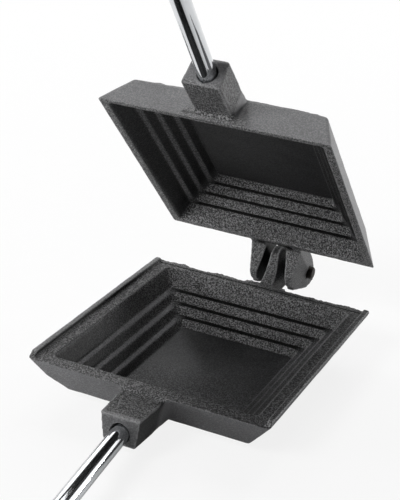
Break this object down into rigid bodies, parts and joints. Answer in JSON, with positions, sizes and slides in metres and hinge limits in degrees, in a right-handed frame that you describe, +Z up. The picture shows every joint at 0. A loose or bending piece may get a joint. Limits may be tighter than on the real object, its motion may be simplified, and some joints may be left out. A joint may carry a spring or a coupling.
{
  "type": "pie iron",
  "caption": "Camp-fire sandwich iron: square cast iron pans with stepped cavities, hinged at the back, each on a long plated rod with a turned wooden grip.",
  "frame": {"origin": "middle of the lower pan's flat base, on the surface that the iron rests on", "axes": "+Z up out of the lower pan's cavity; the rods leave towards -Y and the hinge is at +Y; +X to the right seen from the grips"},
  "size_m": [0.1204, 0.7032, 0.5366],
  "materials": {
    "cast_iron": "sand cast, dark, grainy",
    "dark_steel": "dull, fire darkened",
    "chrome_plate": "bright chrome plate",
    "plated_steel": "bright zinc or nickel plate",
    "turned_wood": "turned hardwood, lacquered"
  },
  "bodies": {
    "lower": {"lower_pan": "cast_iron", "lower_rod": "chrome_plate", "lower_ferrule": "plated_steel", "lower_grip": "turned_wood", "lower_grip_washer": "plated_steel", "lower_grip_nut": "plated_steel"},
    "upper": {"upper_pan": "cast_iron", "hinge_pin": "dark_steel", "upper_rod": "chrome_plate", "upper_ferrule": "plated_steel", "upper_grip": "turned_wood", "upper_grip_washer": "plated_steel", "upper_grip_nut": "plated_steel"}
  },
  "joints": [
    {"name": "hinge", "type": "hinge", "parent": "lower", "child": "upper", "pos_m": [0.0022, 0.0885, 0.0244], "axis": [-1, 0, 0], "range_deg": [-46, 124]}
  ]
}
